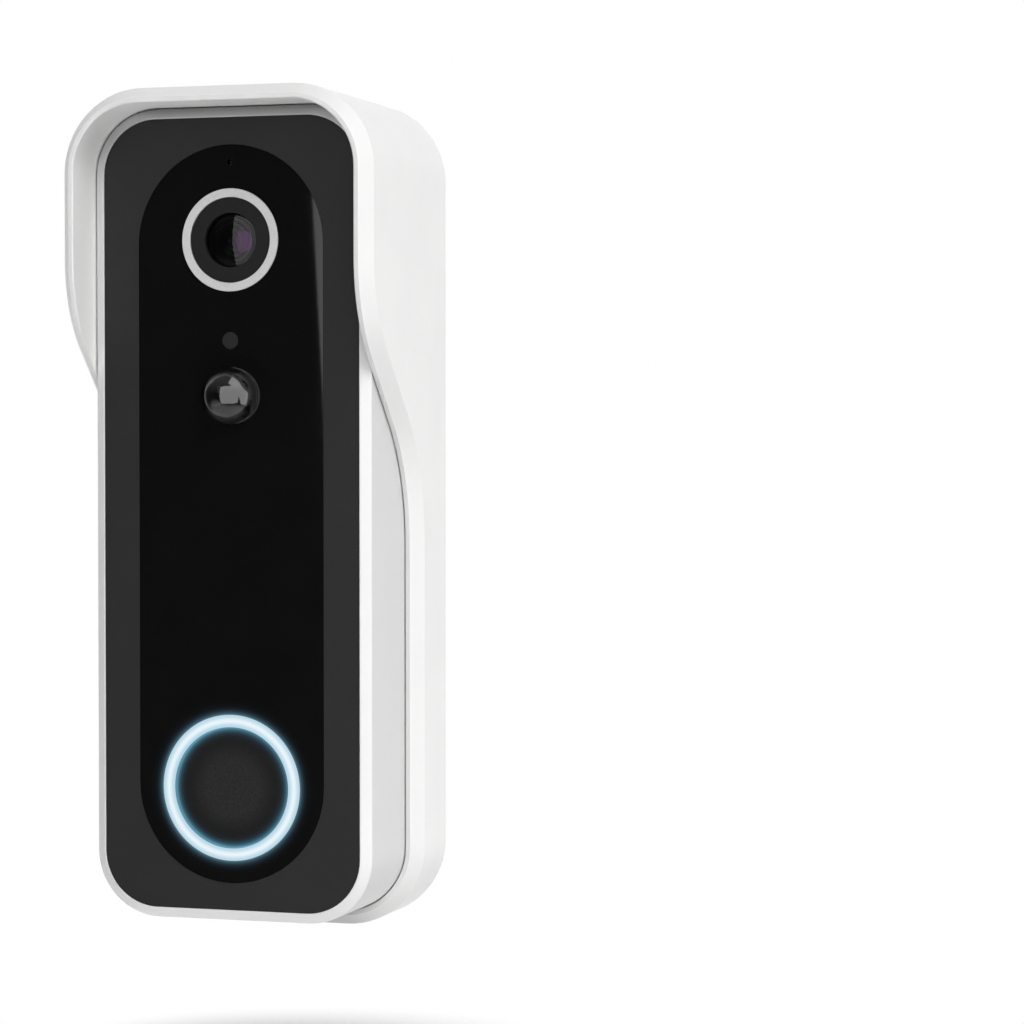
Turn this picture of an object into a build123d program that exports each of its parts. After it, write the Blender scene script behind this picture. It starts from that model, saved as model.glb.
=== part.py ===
from build123d import *
import os
from math import cos, radians, sin

# Video doorbell in its rain hood. Sizes are in millimetres and angles in degrees.
# The origin is the middle of the hood's flat wall face, with X to the viewer's right,
# Y into the wall and Z up. A level is a height over the wall, towards the viewer.

# Fits
glue_gap = 0.05  # between pieces that are glued, snapped or screwed together
slide_gap = 0.3  # between pieces that move past each other
pocket_gap = 0.15  # between the unit and the hood's pocket
press_gap = 0.15  # between the bell button and its ring

# Face of the unit
panel_width = 46.0
panel_height = 133.7
panel_corner = 9.4
panel_thickness = 1.2
rim_land = 0.2  # flat edge of the white border beside the panel
rim_slope = 1.6  # sloping part of the border
rim_drop = 0.9
rim_round = 0.4
window_width = 33.35
window_end = 4.55  # panel end to window end
lens_end = 20.6  # panel end to lens axis
button_end = 20.7  # panel end to button axis

# Unit shell
unit_depth = 29.2
side_wall = 1.9
front_wall = 1.6
cover_thickness = 2.0
cover_lip_height = 2.0
cover_lip_wall = 1.2
gasket_width = 0.8
gasket_height = 0.7

# Rain hood
hood_land = 0.85  # flat front edge of the hood's wall
hood_bevel = 1.85
hood_bevel_drop = 2.6
hood_inner_round = 0.25
hood_back_round = 0.8
hood_back = 3.2
hood_brow = 8.35  # how far the upper front edge stands past the panel
hood_tray = 14.75  # level of the lower front edge
sweep_end = 24.15  # panel end to the start of the S-curve in the side walls
sweep_upper_radius = 23.5
sweep_lower_radius = 28.9
sweep_angle = 44.7
wall_hole_radius = 2.1
wall_hole_spacing = 80.0
wall_head_radius = 4.2
wall_head_depth = 1.6

# Camera
ring_radius = 8.64
ring_width = 1.42
ring_proud = 0.12
bezel_hole_radius = 4.6
bezel_drop = 0.1  # bezel face below the panel face
barrel_wall = 1.4
barrel_length = 6.6
glass_edge = 0.7
glass_dome = 0.6
glass_drop = 0.1  # top of the dome below the bezel's face
throat_radius = 3.9
throat_depth = 1.0
iris_radius = 3.2
rear_glass_drop = 0.3
rear_glass_edge = 0.8
rear_glass_dome = 0.9
holder_side = 15.4
holder_wall = 1.2
holder_base = 3.0
holder_tube = 4.0
holder_ledge = 0.8
holder_ledge_radius = 3.2
filter_side = 7.6
filter_thickness = 0.4
filter_gap = 0.2  # filter to the barrel over it
sensor_width = 8.0
sensor_height = 7.0
sensor_thickness = 1.0

# Night light round the camera, behind the window
led_side = 2.8
led_height = 1.2
led_circle = 12.0
led_count = 4
led_board_radius = 14.8
led_board_thickness = 1.0

# Microphone above the lens, light guide and motion sensor below it
mic_offset = 13.05  # lens axis to microphone hole
mic_hole_radius = 0.5
mic_width = 3.8
mic_height = 3.0
mic_thickness = 1.1
boot_radius = 2.2
guide_offset = 16.9  # lens axis to light guide axis
guide_radius = 1.43
guide_sensor_side = 2.0
guide_sensor_thickness = 0.8
motion_offset = 9.3  # light guide axis to motion sensor axis
motion_radius = 4.9
motion_collar_proud = 0.2
motion_dome_radius = 4.85
motion_dome_rise = 4.85
motion_dome_wall = 0.7
motion_flange = 1.3
motion_flange_thickness = 1.0
motion_can_radius = 4.1
motion_can_height = 4.2
motion_spacer_height = 2.0
motion_spacer_wall = 0.8

# Bell button, its light ring and its switch
light_radius = 12.34
light_width = 2.06
light_lip = 2.0  # depth of the ring's full-width front part
light_skirt = 1.1  # wall of the light pipe behind it
light_flange = 1.2
light_flange_thickness = 1.2
light_led_side = 2.0
light_led_height = 0.8
light_led_gap = 0.5
light_led_count = 8
cap_drop = 0.5  # cap face below the panel face
cap_round = 0.35
cap_flange = 0.8  # how far the cap's flange reaches past its face
cap_flange_thickness = 1.2
cap_post_radius = 2.5
switch_side = 6.0
switch_height = 3.2
plunger_radius = 1.7
plunger_length = 2.8
plunger_stand = 1.8  # plunger above the switch body
button_travel = 0.8

# Main board and what it carries
board_thickness = 1.2
board_side_gap = 1.45
board_top_gap = 3.3
board_bottom_gap = 1.5
board_corner = 6.0
board_post_radius = 2.4
board_post_edge = 3.1  # board's side to the post axes
board_post_high = 28.9  # panel end to the upper board posts
board_post_low = 13.8  # panel end to the lower board posts
processor_side = 12.0
processor_thickness = 1.4
processor_rise = 1.0
memory_width = 9.0
memory_height = 7.0
memory_thickness = 1.0
memory_gap = 0.8  # processor to the memory chip below it
memory_x = -5.0
radio_width = 12.0
radio_height = 16.0
radio_thickness = 2.4
radio_edge = 6.0  # board's side to the radio module
radio_drop = 18.0
antenna_width = 6.0
antenna_length = 38.0
antenna_thickness = 0.3
antenna_corner_gap = 2.45  # antenna's top below the cavity's rounded corner
coax_radius = 0.5
coax_bend = 2.0

# Battery
battery_width = 30.0
battery_height = 70.0
battery_thickness = 10.6
battery_corner = 3.0
battery_drop = 9.0
battery_pad_thickness = 1.0
battery_pad_margin = 4.0
plug_width = 6.0
plug_height = 4.0
plug_thickness = 2.6
plug_rise = 9.0  # battery end to the plug
socket_height = 3.0
socket_floor = 0.8
socket_wall = 0.8
lead_radius = 0.55
lead_spacing = 2.4
lead_bend = 2.2
lead_inset = 2.0  # battery's back to the leads

# Speaker, facing down through slots in the lower end
speaker_width = 24.0
speaker_depth = 12.0
speaker_height = 5.0
speaker_front_gap = 2.1  # front wall to speaker
speaker_corner = 2.0
mesh_margin = 1.0
mesh_thickness = 0.3
slot_count = 7
slot_pitch = 3.2
slot_width = 1.3
slot_length = 8.0

# Charging socket and its flap, and the reset key, on the left side
usb_width = 9.0
usb_thickness = 3.2
usb_depth = 7.4
usb_shell = 0.35
usb_tongue = 0.7
usb_back = 1.0
usb_corner = 1.2
usb_drop = 24.0
flap_length = 15.0
flap_width = 8.6
flap_corner = 2.2
flap_thickness = 1.1
flap_plug_depth = 0.4
flap_plug_gap = 0.5
reset_drop = 39.0
reset_radius = 1.6
reset_recess = 0.15
reset_flange = 0.8
reset_flange_thickness = 0.6
reset_stem = 0.5
reset_travel = 0.5
reset_switch_side = 4.4

# Screws
cover_post_radius = 2.6
cover_post_corner = 4.4  # post axis inside the cavity's corner, each way
cover_post_side = 2.65  # middle post axis inside the cavity's side
cover_screw_radius = 1.1
cover_screw_length = 8.5
cover_screw_head = 2.1
cover_screw_head_height = 1.1
board_screw_radius = 0.9
board_screw_length = 5.0
board_screw_head = 1.8
board_screw_head_height = 1.0
cross_width = 0.6
cross_depth = 0.6
lock_level = 9.0
lock_radius = 1.25
lock_length = 8.0
lock_head = 2.4
lock_head_height = 1.3
lock_boss = 3.0

# Outlines worked out from the sizes above
border = glue_gap + rim_land + rim_slope
unit_width = panel_width + 2 * border
unit_height = panel_height + 2 * border
unit_corner = panel_corner + border
cavity_width = unit_width - 2 * side_wall
cavity_height = unit_height - 2 * side_wall
cavity_corner = unit_corner - side_wall
pocket_width = unit_width + 2 * pocket_gap
pocket_height = unit_height + 2 * pocket_gap
pocket_corner = unit_corner + pocket_gap
hood_wall = hood_land + hood_bevel
hood_width = pocket_width + 2 * hood_wall
hood_height = pocket_height + 2 * hood_wall
hood_corner = pocket_corner + hood_wall
board_width = cavity_width - 2 * board_side_gap
left_side = -unit_width / 2
right_inside = cavity_width / 2
radio_x = board_width / 2 - radio_edge - radio_width / 2

# Levels
cover_level = hood_back + cover_thickness
panel_face = hood_back + unit_depth
panel_seat = panel_face - panel_thickness
wall_inside = panel_seat - front_wall
brow_level = panel_face + hood_brow
bezel_face = panel_face - bezel_drop
glass_seat = bezel_face - glass_drop - glass_dome - glass_edge
throat_level = glass_seat - throat_depth
barrel_level = panel_seat - barrel_length
ledge_level = barrel_level - filter_gap - filter_thickness
board_front = ledge_level - holder_base
board_level = board_front - board_thickness
cap_seat = panel_face - light_lip
plunger_top = board_front + switch_height + plunger_stand
usb_level = board_front + usb_thickness / 2
battery_level = cover_level + battery_pad_thickness
lead_level = battery_level + lead_inset
plug_level = board_level - socket_floor - plug_thickness
coax_level = board_front + radio_thickness / 2
guide_foot = board_front + guide_sensor_thickness
speaker_level = wall_inside - speaker_front_gap - speaker_depth / 2

# Radii
barrel_radius = bezel_hole_radius + barrel_wall
holder_radius = barrel_radius + glue_gap + holder_wall
light_inside = light_radius - light_width
skirt_inside = light_radius - light_skirt
cap_radius = light_inside - press_gap

# Heights on the face
lens_z = panel_height / 2 - lens_end
button_z = button_end - panel_height / 2
mic_z = lens_z + mic_offset
guide_z = lens_z - guide_offset
motion_z = guide_z - motion_offset
usb_z = -usb_drop
reset_z = -reset_drop
radio_z = -radio_drop
memory_z = processor_rise - processor_side / 2 - memory_gap - memory_height / 2
antenna_rise = cavity_height / 2 - cavity_corner - antenna_corner_gap - antenna_length
speaker_floor = -cavity_height / 2 + mesh_thickness
speaker_top = speaker_floor + speaker_height
board_top = cavity_height / 2 - board_top_gap
board_bottom = speaker_top + board_bottom_gap
battery_top = battery_height / 2 - battery_drop
plug_z = battery_top + plug_rise

# Screw places
cover_screw_top = cover_level + cover_screw_length
board_screw_top = board_front + board_screw_length
lock_top = lock_length - unit_height / 2
post_x = cavity_width / 2 - cover_post_corner
post_z = cavity_height / 2 - cover_post_corner
side_post_x = cavity_width / 2 - cover_post_side
cover_posts = [(x, z) for x in (-post_x, post_x) for z in (-post_z, post_z)]
cover_posts += [(-side_post_x, 0), (side_post_x, 0)]
board_post_x = board_width / 2 - board_post_edge
board_post_heights = (panel_height / 2 - board_post_high, board_post_low - panel_height / 2)
board_posts = [(x, z) for x in (-board_post_x, board_post_x) for z in board_post_heights]


def slab(profile, low, high, x=0, z=0):
    # a profile drawn on the front view, as a solid between two levels
    return extrude(Plane.XZ.offset(low).location * Pos(x, z) * profile, high - low)


def plate(width, height, corner, low, high, x=0, z=0):
    return slab(RectangleRounded(width, height, corner), low, high, x, z)


def block(width, height, low, high, x=0, z=0):
    return slab(Rectangle(width, height), low, high, x, z)


def disc(radius, low, high, x=0, z=0):
    return slab(Circle(radius), low, high, x, z)


def tube(outer, inner, low, high, x=0, z=0):
    return slab(Circle(outer) - Circle(inner), low, high, x, z)


def spun(lines, z):
    # a solid turned about a level axis, from lines drawn as (radius, level)
    side_view = Plane((0, 0, z), x_dir=(1, 0, 0), z_dir=(0, 0, -1))
    return revolve(side_view * make_face(lines), Axis((0, 0, z), (0, 1, 0)))


def from_left(profile, start, depth, z):
    # a profile drawn on the left view at the charging socket's level, standing inwards
    return extrude(Plane.YZ.offset(left_side + start).location * Pos(-usb_level, z) * profile, depth)


def upward(profile, level, low, height, x=0):
    # a profile drawn on the top view, standing up from a height
    return extrude(Pos(x, -level, low) * profile, height)


def straight_edge(solid, point):
    return solid.edges().filter_by(Axis.X).sort_by_distance(point)[0]


def flat_front(solid, level):
    return solid.faces().filter_by(Axis.Y).sort_by_distance((0, -level, panel_height / 2))[0]


def group(solids):
    return Compound(children=list(solids))


def screw(x, z, seat, radius, length, head, head_height):
    # a pan-head screw driven towards the viewer, with a cross in its head
    under = seat - head_height
    solid = disc(head, under, seat, x, z) + disc(radius, seat, seat + length, x, z)
    for width, height in ((cross_width, head), (head, cross_width)):
        solid -= block(width, height, under, under + cross_depth, x, z)
    return solid


def sweep_front():
    # everything in front of the hood's edge: upright, S-curve, upright
    far = hood_height
    turn = radians(sweep_angle)
    bends = (sweep_upper_radius + sweep_lower_radius) * (1 - cos(turn))
    slope_length = (brow_level - hood_tray - bends) / sin(turn)
    brow = Line((-brow_level, far), (-brow_level, panel_height / 2 - sweep_end))
    upper = JernArc(brow @ 1, brow % 1, sweep_upper_radius, sweep_angle)
    slope = Line(upper @ 1, upper @ 1 + (upper % 1) * slope_length)
    lower = JernArc(slope @ 1, slope % 1, sweep_lower_radius, -sweep_angle)
    tray = Line(lower @ 1, (-hood_tray, -far))
    ahead = Polyline(tray @ 1, (-brow_level - far, -far), (-brow_level - far, far), brow @ 0)
    outline = make_face(brow + upper + slope + lower + tray + ahead)
    return extrude(Plane.YZ * outline, hood_width, both=True)


def rain_hood():
    hood = plate(hood_width, hood_height, hood_corner, 0, brow_level + hood_wall)
    hood -= sweep_front()
    top = straight_edge(hood, (0, -brow_level, hood_height / 2))
    hood = chamfer(top, hood_bevel, hood_bevel_drop, reference=flat_front(hood, brow_level))
    hood = fillet(straight_edge(hood, (0, 0, hood_height / 2)), hood_back_round)
    hood -= plate(pocket_width, pocket_height, pocket_corner, hood_back, brow_level + hood_wall)
    hood = fillet(straight_edge(hood, (0, -brow_level, pocket_height / 2)), hood_inner_round)
    for z in (-wall_hole_spacing / 2, wall_hole_spacing / 2):
        hood -= disc(wall_hole_radius, 0, hood_back, 0, z)
        sink = Cone(wall_hole_radius, wall_head_radius, wall_head_depth)
        hood -= Pos(0, wall_head_depth / 2 - hood_back, z) * Rot(90, 0, 0) * sink
    # open-fronted slot in the lower wall, for the locking screw to leave by
    floor = -hood_height / 2
    for radius, height in ((lock_radius, hood_wall), (lock_head, lock_head_height)):
        wide = radius + slide_gap
        slot = Circle(wide) + Rectangle(2 * wide, hood_tray, align=(Align.CENTER, Align.MAX))
        hood -= upward(slot, lock_level, floor, height)
    return hood


def front_housing():
    shell = plate(unit_width, unit_height, unit_corner, cover_level, panel_face)
    top = straight_edge(shell, (0, -panel_face, unit_height / 2))
    shell = chamfer(top, rim_slope, rim_drop, reference=flat_front(shell, panel_face))
    shell = fillet(straight_edge(shell, (0, rim_drop - panel_face, unit_height / 2)), rim_round)
    recess = panel_outline(-glue_gap)
    shell -= slab(recess, panel_seat, panel_face)
    shell -= plate(cavity_width, cavity_height, cavity_corner, cover_level, wall_inside)
    for x, z in cover_posts:
        shell += disc(cover_post_radius, cover_level, wall_inside, x, z)
        shell -= disc(cover_screw_radius + glue_gap, cover_level, cover_screw_top, x, z)
    for x, z in board_posts:
        shell += disc(board_post_radius, board_front, wall_inside, x, z)
        shell -= disc(board_screw_radius + glue_gap, board_front, board_screw_top, x, z)
    shell += upward(Circle(lock_boss), lock_level, -cavity_height / 2, lock_top + cavity_height / 2)
    shell -= upward(Circle(lock_radius + glue_gap), lock_level, -unit_height / 2, lock_top + unit_height / 2)
    shell -= gasket_loop(glue_gap)
    shell -= front_wall_holes()
    for n in range(slot_count):
        x = (n - (slot_count - 1) / 2) * slot_pitch
        slot = SlotOverall(slot_length, slot_width, rotation=90)
        shell -= upward(slot, speaker_level, -unit_height / 2, side_wall, x)
    shell -= from_left(flap_outline(slide_gap), 0, flap_thickness, usb_z)
    shell -= from_left(usb_outline(flap_plug_gap), 0, side_wall, usb_z)
    shell -= from_left(Circle(reset_radius + slide_gap), 0, side_wall, reset_z)
    return shell


def front_wall_holes():
    low, high = wall_inside, panel_seat
    holes = [
        disc(barrel_radius + glue_gap, low, high, 0, lens_z),
        disc(light_radius + glue_gap, low, high, 0, button_z),
        disc(motion_radius + glue_gap, low, high, 0, motion_z),
        disc(guide_radius + glue_gap, low, high, 0, guide_z),
        disc(mic_hole_radius, low, high, 0, mic_z),
    ]
    side = led_side + 2 * slide_gap
    holes += [block(side, side, low, high, x, z) for x, z in led_places()]
    return holes


def led_places():
    spots = PolarLocations(led_circle, led_count, start_angle=180 / led_count)
    return [(spot.position.X, lens_z + spot.position.Y) for spot in spots]


def light_places():
    spots = PolarLocations(light_radius - light_skirt / 2, light_led_count)
    return [(spot.position.X, button_z + spot.position.Y) for spot in spots]


def panel_outline(gap=0):
    return RectangleRounded(panel_width - 2 * gap, panel_height - 2 * gap, panel_corner - gap)


def window_outline(gap=0):
    return SlotOverall(panel_height - 2 * (window_end + gap), window_width - 2 * gap, rotation=90)


def flap_outline(gap=0):
    return RectangleRounded(flap_width + 2 * gap, flap_length + 2 * gap, flap_corner + gap)


def usb_outline(gap=0):
    return RectangleRounded(usb_thickness + 2 * gap, usb_width + 2 * gap, usb_corner + gap)


def gasket_loop(gap=0):
    outer = (side_wall - gasket_width) / 2 - gap
    inner = outer + gasket_width + 2 * gap
    loop = RectangleRounded(unit_width - 2 * outer, unit_height - 2 * outer, unit_corner - outer)
    loop -= RectangleRounded(unit_width - 2 * inner, unit_height - 2 * inner, unit_corner - inner)
    return slab(loop, cover_level, cover_level + gasket_height)


def rear_cover():
    cover = plate(unit_width, unit_height, unit_corner, hood_back, cover_level)
    width, height = cavity_width - 2 * glue_gap, cavity_height - 2 * glue_gap
    corner = cavity_corner - glue_gap
    lip = RectangleRounded(width, height, corner)
    lip -= RectangleRounded(width - 2 * cover_lip_wall, height - 2 * cover_lip_wall, corner - cover_lip_wall)
    for x, z in cover_posts:
        lip -= Pos(x, z) * Circle(cover_post_radius + glue_gap)
    lip -= Pos(0, -height / 2) * Rectangle(2 * (lock_boss + slide_gap), 4 * cover_lip_wall)
    cover += slab(lip, cover_level, cover_level + cover_lip_height)
    head_room = hood_back + cover_screw_head_height + glue_gap
    for x, z in cover_posts:
        cover -= disc(cover_screw_radius + glue_gap, hood_back, cover_level, x, z)
        cover -= disc(cover_screw_head + glue_gap, hood_back, head_room, x, z)
    return cover


def front_panel():
    return slab(panel_outline() - window_outline(), panel_seat, panel_face)


def camera_window():
    window = slab(window_outline(glue_gap), panel_seat, panel_face)
    holes = [
        (ring_radius, lens_z),
        (light_radius, button_z),
        (motion_radius, motion_z),
        (guide_radius, guide_z),
    ]
    for radius, z in holes:
        window -= disc(radius + glue_gap, panel_seat, panel_face, 0, z)
    return window - disc(mic_hole_radius, panel_seat, panel_face, 0, mic_z)


def lens_ring():
    return tube(ring_radius, ring_radius - ring_width, panel_seat, panel_face + ring_proud, 0, lens_z)


def lens_bezel():
    outer = ring_radius - ring_width - glue_gap
    return tube(outer, bezel_hole_radius, panel_seat, bezel_face, 0, lens_z)


def domed_lens(radius, seat, edge, dome):
    # flat back, straight edge and domed front
    top = seat + edge + dome
    curve = TangentArc((0, top), (radius, seat + edge), tangent=(1, 0))
    return spun(curve + Polyline(curve @ 1, (radius, seat), (0, seat), (0, top)), lens_z)


def front_lens():
    return domed_lens(bezel_hole_radius - glue_gap, glass_seat, glass_edge, glass_dome)


def rear_lens():
    seat = throat_level - rear_glass_drop - rear_glass_dome - rear_glass_edge
    return domed_lens(iris_radius - glue_gap, seat, rear_glass_edge, rear_glass_dome)


def lens_barrel():
    barrel = disc(barrel_radius, barrel_level, panel_seat, 0, lens_z)
    barrel -= disc(bezel_hole_radius, glass_seat, panel_seat, 0, lens_z)
    barrel -= disc(throat_radius, throat_level, glass_seat, 0, lens_z)
    return barrel - disc(iris_radius, barrel_level, throat_level, 0, lens_z)


def lens_holder():
    holder = block(holder_side, holder_side, board_front, ledge_level, 0, lens_z)
    holder += disc(holder_radius, ledge_level, ledge_level + holder_tube, 0, lens_z)
    room = holder_side - 2 * holder_wall
    holder -= block(room, room, board_front, ledge_level - holder_ledge, 0, lens_z)
    holder -= disc(holder_ledge_radius, board_front, ledge_level, 0, lens_z)
    return holder - disc(barrel_radius + glue_gap, ledge_level, ledge_level + holder_tube, 0, lens_z)


def ir_filter():
    return block(filter_side, filter_side, ledge_level, ledge_level + filter_thickness, 0, lens_z)


def image_sensor():
    return block(sensor_width, sensor_height, board_front, board_front + sensor_thickness, 0, lens_z)


def ir_leds():
    top = wall_inside + led_height
    return group(block(led_side, led_side, wall_inside, top, x, z) for x, z in led_places())


def ir_led_board():
    low = wall_inside - led_board_thickness
    board = tube(led_board_radius, holder_radius + slide_gap, low, wall_inside, 0, lens_z)
    for radius, z in ((boot_radius, mic_z), (guide_radius, guide_z)):
        board -= disc(radius + slide_gap, low, wall_inside, 0, z)
    return board


def microphone():
    return block(mic_width, mic_height, board_front, board_front + mic_thickness, 0, mic_z)


def mic_boot():
    return tube(boot_radius, mic_hole_radius, board_front + mic_thickness, wall_inside, 0, mic_z)


def light_sensor():
    return block(guide_sensor_side, guide_sensor_side, board_front, guide_foot, 0, guide_z)


def light_guide():
    return disc(guide_radius, guide_foot, panel_face, 0, guide_z)


def motion_lens():
    # hollow dome on a collar, with a flange behind the front wall
    collar = panel_face + motion_collar_proud
    low = wall_inside - motion_flange_thickness
    inside = motion_dome_radius - motion_dome_wall
    dome = TangentArc((0, collar + motion_dome_rise), (motion_dome_radius, collar), tangent=(1, 0))
    hollow = TangentArc((0, collar + motion_dome_rise - motion_dome_wall), (inside, collar), tangent=(1, 0))
    outside = Polyline(
        dome @ 1,
        (motion_radius, collar),
        (motion_radius, wall_inside),
        (motion_radius + motion_flange, wall_inside),
        (motion_radius + motion_flange, low),
        (inside, low),
        hollow @ 1,
    )
    return spun(dome + outside + hollow + Line(hollow @ 0, dome @ 0), motion_z)


def motion_sensor():
    low = board_front + motion_spacer_height
    return disc(motion_can_radius, low, low + motion_can_height, 0, motion_z)


def motion_spacer():
    inner = motion_can_radius - motion_spacer_wall
    return tube(motion_can_radius, inner, board_front, board_front + motion_spacer_height, 0, motion_z)


def light_ring():
    foot = board_front + light_led_height + light_led_gap
    ring = tube(light_radius, light_inside, cap_seat, panel_face, 0, button_z)
    ring += tube(light_radius, skirt_inside, foot, cap_seat, 0, button_z)
    low = wall_inside - light_flange_thickness
    return ring + tube(light_radius + light_flange, skirt_inside, low, wall_inside, 0, button_z)


def ring_leds():
    side = light_led_side
    top = board_front + light_led_height
    return group(block(side, side, board_front, top, x, z) for x, z in light_places())


def button_cap():
    back = cap_seat - cap_flange_thickness
    face = disc(cap_radius, cap_seat, panel_face - cap_drop, 0, button_z)
    face = fillet(face.edges().sort_by(Axis.Y)[0], cap_round)
    cap = face + disc(cap_radius + cap_flange, back, cap_seat, 0, button_z)
    return cap + disc(cap_post_radius, plunger_top, back, 0, button_z)


def switch_plunger():
    return disc(plunger_radius, plunger_top - plunger_length, plunger_top, 0, button_z)


def switch_body():
    body = block(switch_side, switch_side, board_front, board_front + switch_height, 0, button_z)
    bore = plunger_top - plunger_length - button_travel - slide_gap
    return body - disc(plunger_radius + slide_gap, bore, board_front + switch_height, 0, button_z)


def main_board():
    height = board_top - board_bottom
    middle = (board_top + board_bottom) / 2
    board = plate(board_width, height, board_corner, board_level, board_front, 0, middle)
    for x, z in cover_posts:
        board -= disc(cover_post_radius + slide_gap, board_level, board_front, x, z)
    for x, z in board_posts:
        board -= disc(board_screw_radius + glue_gap, board_level, board_front, x, z)
    return board


def processor():
    top = board_front + processor_thickness
    return block(processor_side, processor_side, board_front, top, 0, processor_rise)


def memory_chip():
    top = board_front + memory_thickness
    return block(memory_width, memory_height, board_front, top, memory_x, memory_z)


def wifi_module():
    return block(radio_width, radio_height, board_front, board_front + radio_thickness, radio_x, radio_z)


def wifi_antenna():
    size = (antenna_thickness, antenna_width, antenna_length)
    x = right_inside - antenna_thickness / 2
    return Pos(x, -coax_level, antenna_rise + antenna_length / 2) * Box(*size)


def antenna_cable():
    x = radio_x + radio_width / 2 - 2 * coax_radius
    away = right_inside - antenna_thickness - coax_radius - glue_gap
    top = radio_z + radio_height / 2
    half = (top + antenna_rise) / 2
    points = [(x, top), (x, half), (away, half + away - x), (away, antenna_rise + antenna_width)]
    return wire_along([(px, -coax_level, pz) for px, pz in points], coax_radius, coax_bend)


def wire_along(points, radius, bend):
    path = FilletPolyline(*points, radius=bend)
    return sweep(Plane(path @ 0, z_dir=path % 0) * Circle(radius), path=path)


def battery_pack():
    top = battery_level + battery_thickness
    return plate(battery_width, battery_height, battery_corner, battery_level, top, 0, -battery_drop)


def battery_pad():
    width = battery_width - 2 * battery_pad_margin
    height = battery_height - 2 * battery_pad_margin
    return block(width, height, cover_level, battery_level, 0, -battery_drop)


def battery_plug():
    return block(plug_width, plug_height, plug_level, plug_level + plug_thickness, 0, plug_z)


def battery_socket():
    low = board_level - socket_height
    socket = block(plug_width + 2 * socket_wall, plug_height + 2 * socket_wall, low, board_level, 0, plug_z)
    width, height = plug_width + 2 * glue_gap, plug_height + 2 * glue_gap
    return socket - block(width, height, low, plug_level + plug_thickness, 0, plug_z)


def battery_leads():
    leads = []
    for x in (-lead_spacing / 2, lead_spacing / 2):
        points = [(x, -lead_level, battery_top), (x, -lead_level, plug_z), (x, -plug_level, plug_z)]
        leads.append(wire_along(points, lead_radius, lead_bend))
    return group(leads)


def speaker():
    return upward(speaker_outline(), speaker_level, speaker_floor, speaker_height)


def speaker_mesh():
    return upward(speaker_outline(mesh_margin), speaker_level, -cavity_height / 2, mesh_thickness)


def speaker_outline(inset=0):
    return RectangleRounded(speaker_width - 2 * inset, speaker_depth - 2 * inset, speaker_corner)


def usb_socket():
    start = flap_thickness + flap_plug_depth + slide_gap
    shell = from_left(usb_outline(), start, usb_depth, usb_z)
    shell -= from_left(usb_outline(-usb_shell), start, usb_depth - usb_back, usb_z)
    tongue = Rectangle(usb_tongue, usb_width - 4 * usb_tongue)
    return shell + from_left(tongue, start + usb_back, usb_depth - usb_back, usb_z)


def usb_flap():
    flap = from_left(flap_outline(), 0, flap_thickness, usb_z)
    return flap + from_left(usb_outline(), flap_thickness, flap_plug_depth, usb_z)


def reset_key():
    key = from_left(Circle(reset_radius), reset_recess, side_wall - reset_recess, reset_z)
    key += from_left(Circle(reset_radius + reset_flange), side_wall, reset_flange_thickness, reset_z)
    return key + from_left(Circle(reset_radius / 2), side_wall + reset_flange_thickness, reset_stem, reset_z)


def reset_switch():
    start = side_wall + reset_flange_thickness + reset_stem + reset_travel + glue_gap
    return from_left(Rectangle(usb_thickness, reset_switch_side), start, reset_switch_side, reset_z)


def cover_screws():
    seat = hood_back + cover_screw_head_height + glue_gap
    length = cover_screw_top - seat - glue_gap
    size = (cover_screw_radius, length, cover_screw_head, cover_screw_head_height)
    return group(screw(x, z, seat, *size) for x, z in cover_posts)


def board_screws():
    length = board_screw_top - board_level - glue_gap
    size = (board_screw_radius, length, board_screw_head, board_screw_head_height)
    return group(screw(x, z, board_level, *size) for x, z in board_posts)


def security_screw():
    floor = -hood_height / 2
    solid = upward(Circle(lock_head), lock_level, floor, lock_head_height - slide_gap)
    solid += upward(Circle(lock_radius), lock_level, floor, lock_top - glue_gap - floor)
    for width, height in ((cross_width, lock_head), (lock_head, cross_width)):
        solid -= upward(Rectangle(width, height), lock_level, floor, cross_depth)
    return solid


pieces = [
    rain_hood, front_housing, rear_cover, front_panel, camera_window,
    lens_ring, lens_bezel, front_lens, rear_lens, lens_barrel, lens_holder, ir_filter, image_sensor,
    ir_leds, ir_led_board, microphone, mic_boot, light_sensor, light_guide,
    motion_lens, motion_sensor, motion_spacer,
    light_ring, ring_leds, button_cap, switch_plunger, switch_body,
    main_board, processor, memory_chip, wifi_module, wifi_antenna, antenna_cable,
    battery_pack, battery_pad, battery_plug, battery_socket, battery_leads,
    speaker, speaker_mesh, usb_socket, usb_flap, reset_key, reset_switch,
    cover_screws, board_screws, security_screw,
]
solids = {piece.__name__: piece() for piece in pieces}
solids["housing_gasket"] = gasket_loop()

os.makedirs("parts", exist_ok=True)
for name, solid in solids.items():
    export_step(solid, f"parts/{name}.step")
    print(name, round(solid.volume, 1), "mm3")
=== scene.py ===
import math

import bpy
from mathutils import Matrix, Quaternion, Vector


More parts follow.
